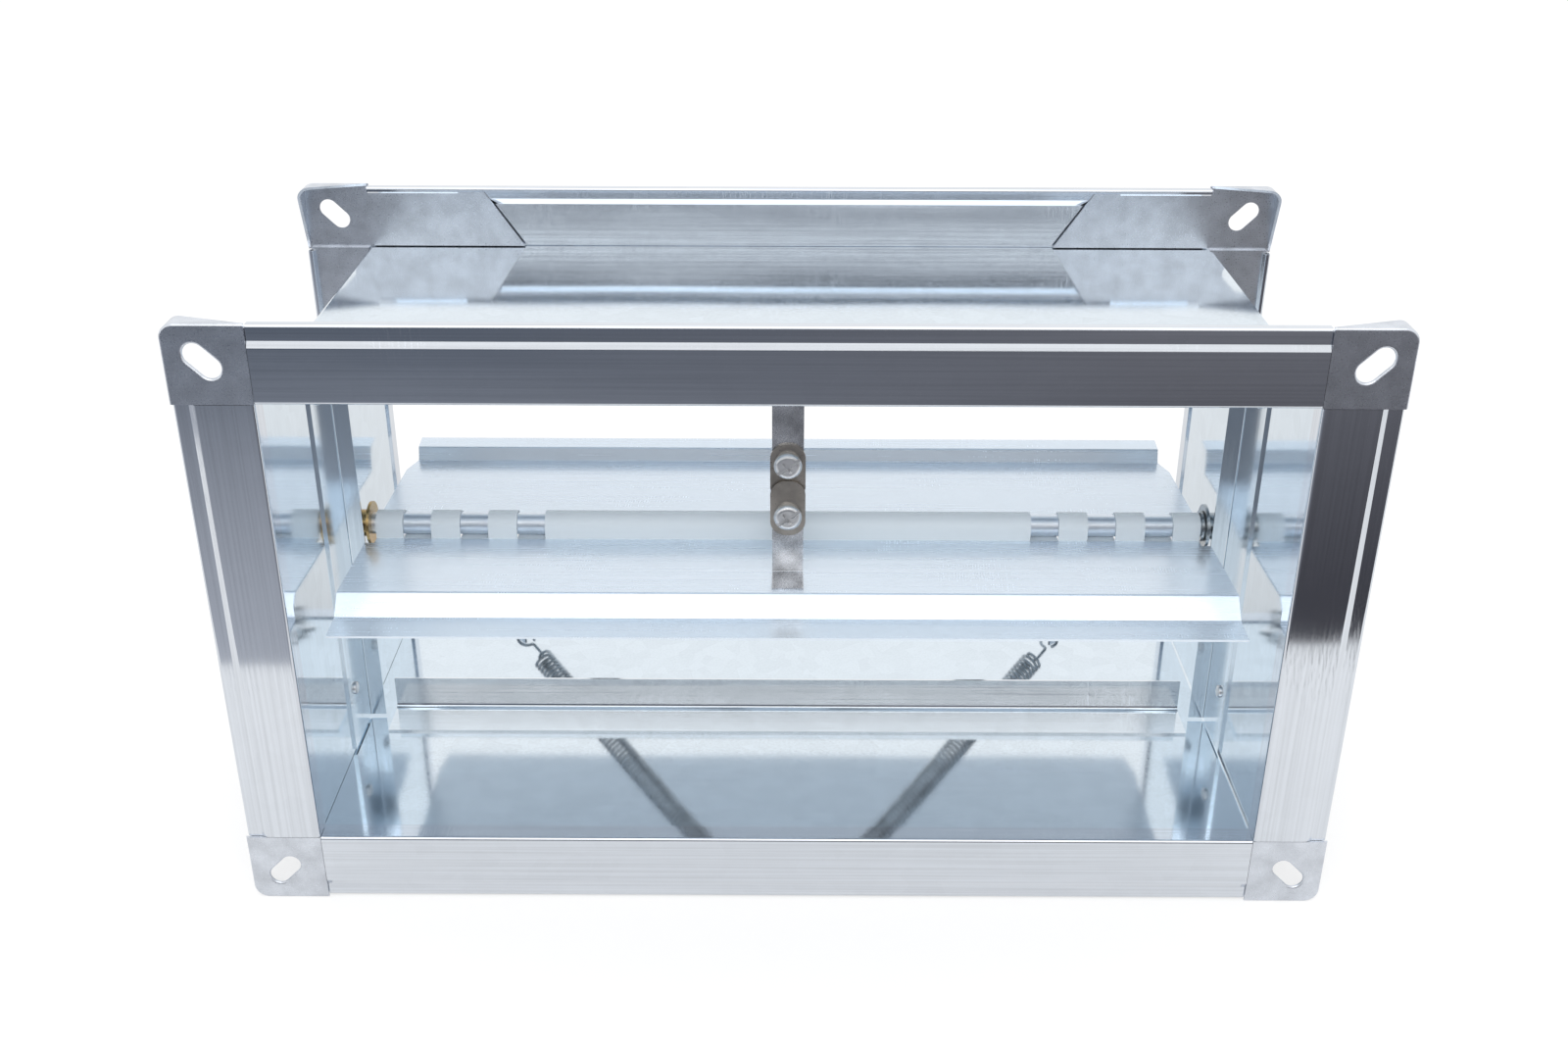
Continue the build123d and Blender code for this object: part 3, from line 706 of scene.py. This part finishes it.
def seen_rays(tree):
    """One for what the eye, a mirror or glass sees, and nought for light that only falls on things."""
    rays = add_node(tree, "ShaderNodeLightPath", {}).outputs
    seen = combine(tree, "MAXIMUM", rays["Is Camera Ray"], rays["Is Glossy Ray"])
    return combine(tree, "MAXIMUM", seen, rays["Is Transmission Ray"])


WHITE = "#FFFFFF"
FLOOR_GREY = "#ACACAC"

# Half sizes of the floor, of the dark room's ground and of the upright cards at the room's end
FLOOR_SIZE = 12.0
ROOM_WIDTH = 3.5
ROOM_DEPTH = 1.2
WALL_WIDTH = 0.9
LOW_BAR_WIDTH = 0.34
HIGH_BAR_WIDTH = 0.42

# Sides of the two softboxes, where they hang and the point they face, in metres
SOFTBOX_SIZE = 1.7
SOFTBOX_PLACE = Vector((0.0, -0.75, 1.5))
FRONT_SOFTBOX_SIZE = 0.7
FRONT_SOFTBOX_PLACE = Vector((0.0, -1.15, 0.95))
LAMP_TARGET = Vector((0.0, 0.15, 0.0))

# Width of the camera's sensor in millimetres, and the nearest distance it sees in metres
SENSOR_WIDTH = 36.0
CLIP_START = 0.01


class DAMPER_OT_studio(bpy.types.Operator):
    """Set the white table, the dark room behind the camera, the light and the camera"""

    bl_idname = "damper.studio"
    bl_label = "Studio"

    def execute(self, context):
        scene = context.scene
        studio = scene.damper_studio
        self.white_table(studio)
        self.dark_room(studio)
        self.dark_bars(studio)
        self.light(scene, studio)
        self.camera(scene, studio)
        scene.view_settings.view_transform = "Standard"
        return {"FINISHED"}

    def white_table(self, studio):
        """A white floor that keeps the shadow and looks white in the picture and in the metal."""
        material, tree = new_material("white_table")
        matt = add_node(tree, "ShaderNodeBsdfDiffuse", {"Color": rgba(linear(FLOOR_GREY))})
        rays = add_node(tree, "ShaderNodeLightPath", {}).outputs
        in_metal = combine(tree, "MULTIPLY", rays["Is Glossy Ray"], studio.metal_glow)
        strength = combine(tree, "MULTIPLY_ADD", rays["Is Camera Ray"], studio.floor_glow, in_metal)
        glow = add_node(tree, "ShaderNodeEmission", {"Color": rgba(linear(WHITE)), "Strength": strength})
        both = add_node(tree, "ShaderNodeAddShader", {0: matt.outputs["BSDF"], 1: glow.outputs["Emission"]})
        add_node(tree, "ShaderNodeOutputMaterial", {"Surface": both.outputs["Shader"]})
        bm = bmesh.new()
        bmesh.ops.create_grid(bm, x_segments=1, y_segments=1, size=FLOOR_SIZE)
        bmesh.ops.translate(bm, verts=bm.verts, vec=(0, 0, cad_box[0].z))
        stage_piece("white_table", bm, material)

    def dark_room(self, studio):
        """The unlit room in front of the table, paler on the left, which only the metal shows."""
        material, tree = new_material("dark_room")
        place = add_node(tree, "ShaderNodeTexCoord", {}).outputs["Object"]
        spot = add_node(tree, "ShaderNodeSeparateXYZ", {"Vector": place}).outputs
        across = ramp(tree, spot["X"], (-studio.room_turn, studio.room_turn))
        away = ramp(tree, spot["Y"], (-studio.table_edge, -studio.room_wall))
        left = mixed(tree, away, rgba(studio.near_left), rgba(studio.far_left))
        right = mixed(tree, away, rgba(studio.near_right), rgba(studio.far_right))
        colour = mixed(tree, across, left, right)
        glow = add_node(tree, "ShaderNodeEmission", {"Color": colour, "Strength": 1.0})
        add_node(tree, "ShaderNodeOutputMaterial", {"Surface": glow.outputs["Emission"]})
        ground = cad_box[0].z + MM
        middle = Vector((0, -studio.table_edge - ROOM_DEPTH, ground))
        turn = Matrix.Rotation(studio.table_turn, 4, Vector((0, 0, 1)))
        flat = turn @ Matrix.LocRotScale(middle, None, (ROOM_WIDTH, ROOM_DEPTH, 1))
        bm = bmesh.new()
        for card in (flat, self.upright_card(studio, WALL_WIDTH, ground, studio.wall_top)):
            bmesh.ops.create_grid(bm, x_segments=1, y_segments=1, size=1.0, matrix=card)
        self.only_for_metal(stage_piece("dark_room", bm, material))

    def dark_bars(self, studio):
        """Two dark bars beside the camera, which draw the bands along the rear flange."""
        material, tree = new_material("dark_bars")
        glow = add_node(tree, "ShaderNodeEmission", {"Color": rgba(studio.bar), "Strength": 1.0})
        add_node(tree, "ShaderNodeOutputMaterial", {"Surface": glow.outputs["Emission"]})
        bm = bmesh.new()
        for half_width, foot, height in (
            (LOW_BAR_WIDTH, studio.low_bar, studio.low_bar_height),
            (HIGH_BAR_WIDTH, studio.high_bar, studio.high_bar_height),
        ):
            card = self.upright_card(studio, half_width, foot, foot + height)
            bmesh.ops.create_grid(bm, x_segments=1, y_segments=1, size=1.0, matrix=card)
        self.only_for_metal(stage_piece("dark_bars", bm, material))

    def upright_card(self, studio, half_width, low, high):
        """Place and size of an upright card at the room's wall."""
        middle = Vector((0, -studio.room_wall, (low + high) / 2))
        upright = Matrix.Rotation(QUARTER_TURN, 3, "X")
        return Matrix.LocRotScale(middle, upright, (half_width, (high - low) / 2, 1))

    def only_for_metal(self, card):
        """Hide a card from the eye and from light that falls on things."""
        card.visible_camera = False
        card.visible_diffuse = False
        card.visible_shadow = False

    def light(self, scene, studio):
        """A softbox that the metal sees, a smaller one that it doesn't, and even light from all round."""
        for name, size, power, place, mirrored in (
            ("softbox", SOFTBOX_SIZE, studio.lamp, SOFTBOX_PLACE, True),
            ("front_softbox", FRONT_SOFTBOX_SIZE, studio.front_lamp, FRONT_SOFTBOX_PLACE, False),
        ):
            data = bpy.data.lights.new(name, "AREA")
            data.shape = "SQUARE"
            data.size = size
            data.energy = power
            lamp = bpy.data.objects.new(name, data)
            lamp.location = place
            lamp.rotation_euler = (LAMP_TARGET - place).to_track_quat("-Z", "Y").to_euler()
            lamp.visible_glossy = mirrored
            scene.collection.objects.link(lamp)
        world = bpy.data.worlds.new("white_studio")
        world.use_nodes = True
        tree = world.node_tree
        tree.nodes.clear()
        falling = add_node(
            tree, "ShaderNodeBackground", {"Color": rgba(linear(WHITE)), "Strength": studio.ambient}
        )
        seen = add_node(tree, "ShaderNodeBackground", {"Color": rgba(linear(WHITE)), "Strength": 1.0})
        both = add_node(
            tree,
            "ShaderNodeMixShader",
            {0: seen_rays(tree), 1: falling.outputs["Background"], 2: seen.outputs["Background"]},
        )
        add_node(tree, "ShaderNodeOutputWorld", {"Surface": both.outputs["Shader"]})
        scene.world = world

    def camera(self, scene, studio):
        """The camera, above the front flange and looking down into the duct."""
        pitch, yaw, roll = studio.pitch, studio.yaw, studio.roll
        forward = Vector((math.sin(yaw) * math.cos(pitch), math.cos(yaw) * math.cos(pitch), -math.sin(pitch)))
        right = Vector((math.cos(yaw), -math.sin(yaw), 0))
        up = right.cross(forward)
        right, up = right * math.cos(roll) + up * math.sin(roll), up * math.cos(roll) - right * math.sin(roll)
        turn = Matrix((right, up, -forward)).transposed().to_4x4()
        data = bpy.data.cameras.new("camera")
        data.lens = studio.lens
        data.sensor_width = SENSOR_WIDTH
        data.clip_start = CLIP_START
        camera = bpy.data.objects.new("camera", data)
        camera.matrix_world = Matrix.Translation(studio.place) @ turn
        scene.collection.objects.link(camera)
        scene.camera = camera


OPERATORS = (
    DAMPER_OT_flange_rails,
    DAMPER_OT_flange_corners,
    DAMPER_OT_casing,
    DAMPER_OT_blade,
    DAMPER_OT_shaft,
    DAMPER_OT_fusible_link,
    DAMPER_OT_fasteners,
    DAMPER_OT_springs,
    DAMPER_OT_studio,
)


class DAMPER_PT_sidebar(bpy.types.Panel):
    """The damper's steps and settings"""

    bl_idname = "DAMPER_PT_sidebar"
    bl_label = "Fire damper"
    bl_space_type = "VIEW_3D"
    bl_region_type = "UI"
    bl_category = "Damper"

    def draw(self, context):
        for operator in OPERATORS:
            self.layout.operator(operator.bl_idname)
        scene = context.scene
        for settings in (scene.damper_finishes, scene.damper_springs, scene.damper_studio):
            box = self.layout.box()
            for name in settings.__annotations__:
                box.prop(settings, name)


CLASSES = (DamperFinishes, DamperSprings, DamperStudio, *OPERATORS, DAMPER_PT_sidebar)


def register():
    """Add the damper's settings, steps and panel."""
    for cls in CLASSES:
        bpy.utils.register_class(cls)
    bpy.types.Scene.damper_finishes = PointerProperty(type=DamperFinishes)
    bpy.types.Scene.damper_springs = PointerProperty(type=DamperSprings)
    bpy.types.Scene.damper_studio = PointerProperty(type=DamperStudio)


def unregister():
    """Take the damper's settings, steps and panel away."""
    del bpy.types.Scene.damper_studio
    del bpy.types.Scene.damper_springs
    del bpy.types.Scene.damper_finishes
    for cls in reversed(CLASSES):
        bpy.utils.unregister_class(cls)


def main():
    """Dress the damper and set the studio."""
    register()
    bpy.ops.damper.flange_rails()
    bpy.ops.damper.flange_corners()
    bpy.ops.damper.casing()
    bpy.ops.damper.blade()
    bpy.ops.damper.shaft()
    bpy.ops.damper.fusible_link()
    bpy.ops.damper.fasteners()
    bpy.ops.damper.springs()
    bpy.ops.damper.studio()


if __name__ == "__main__":
    main()
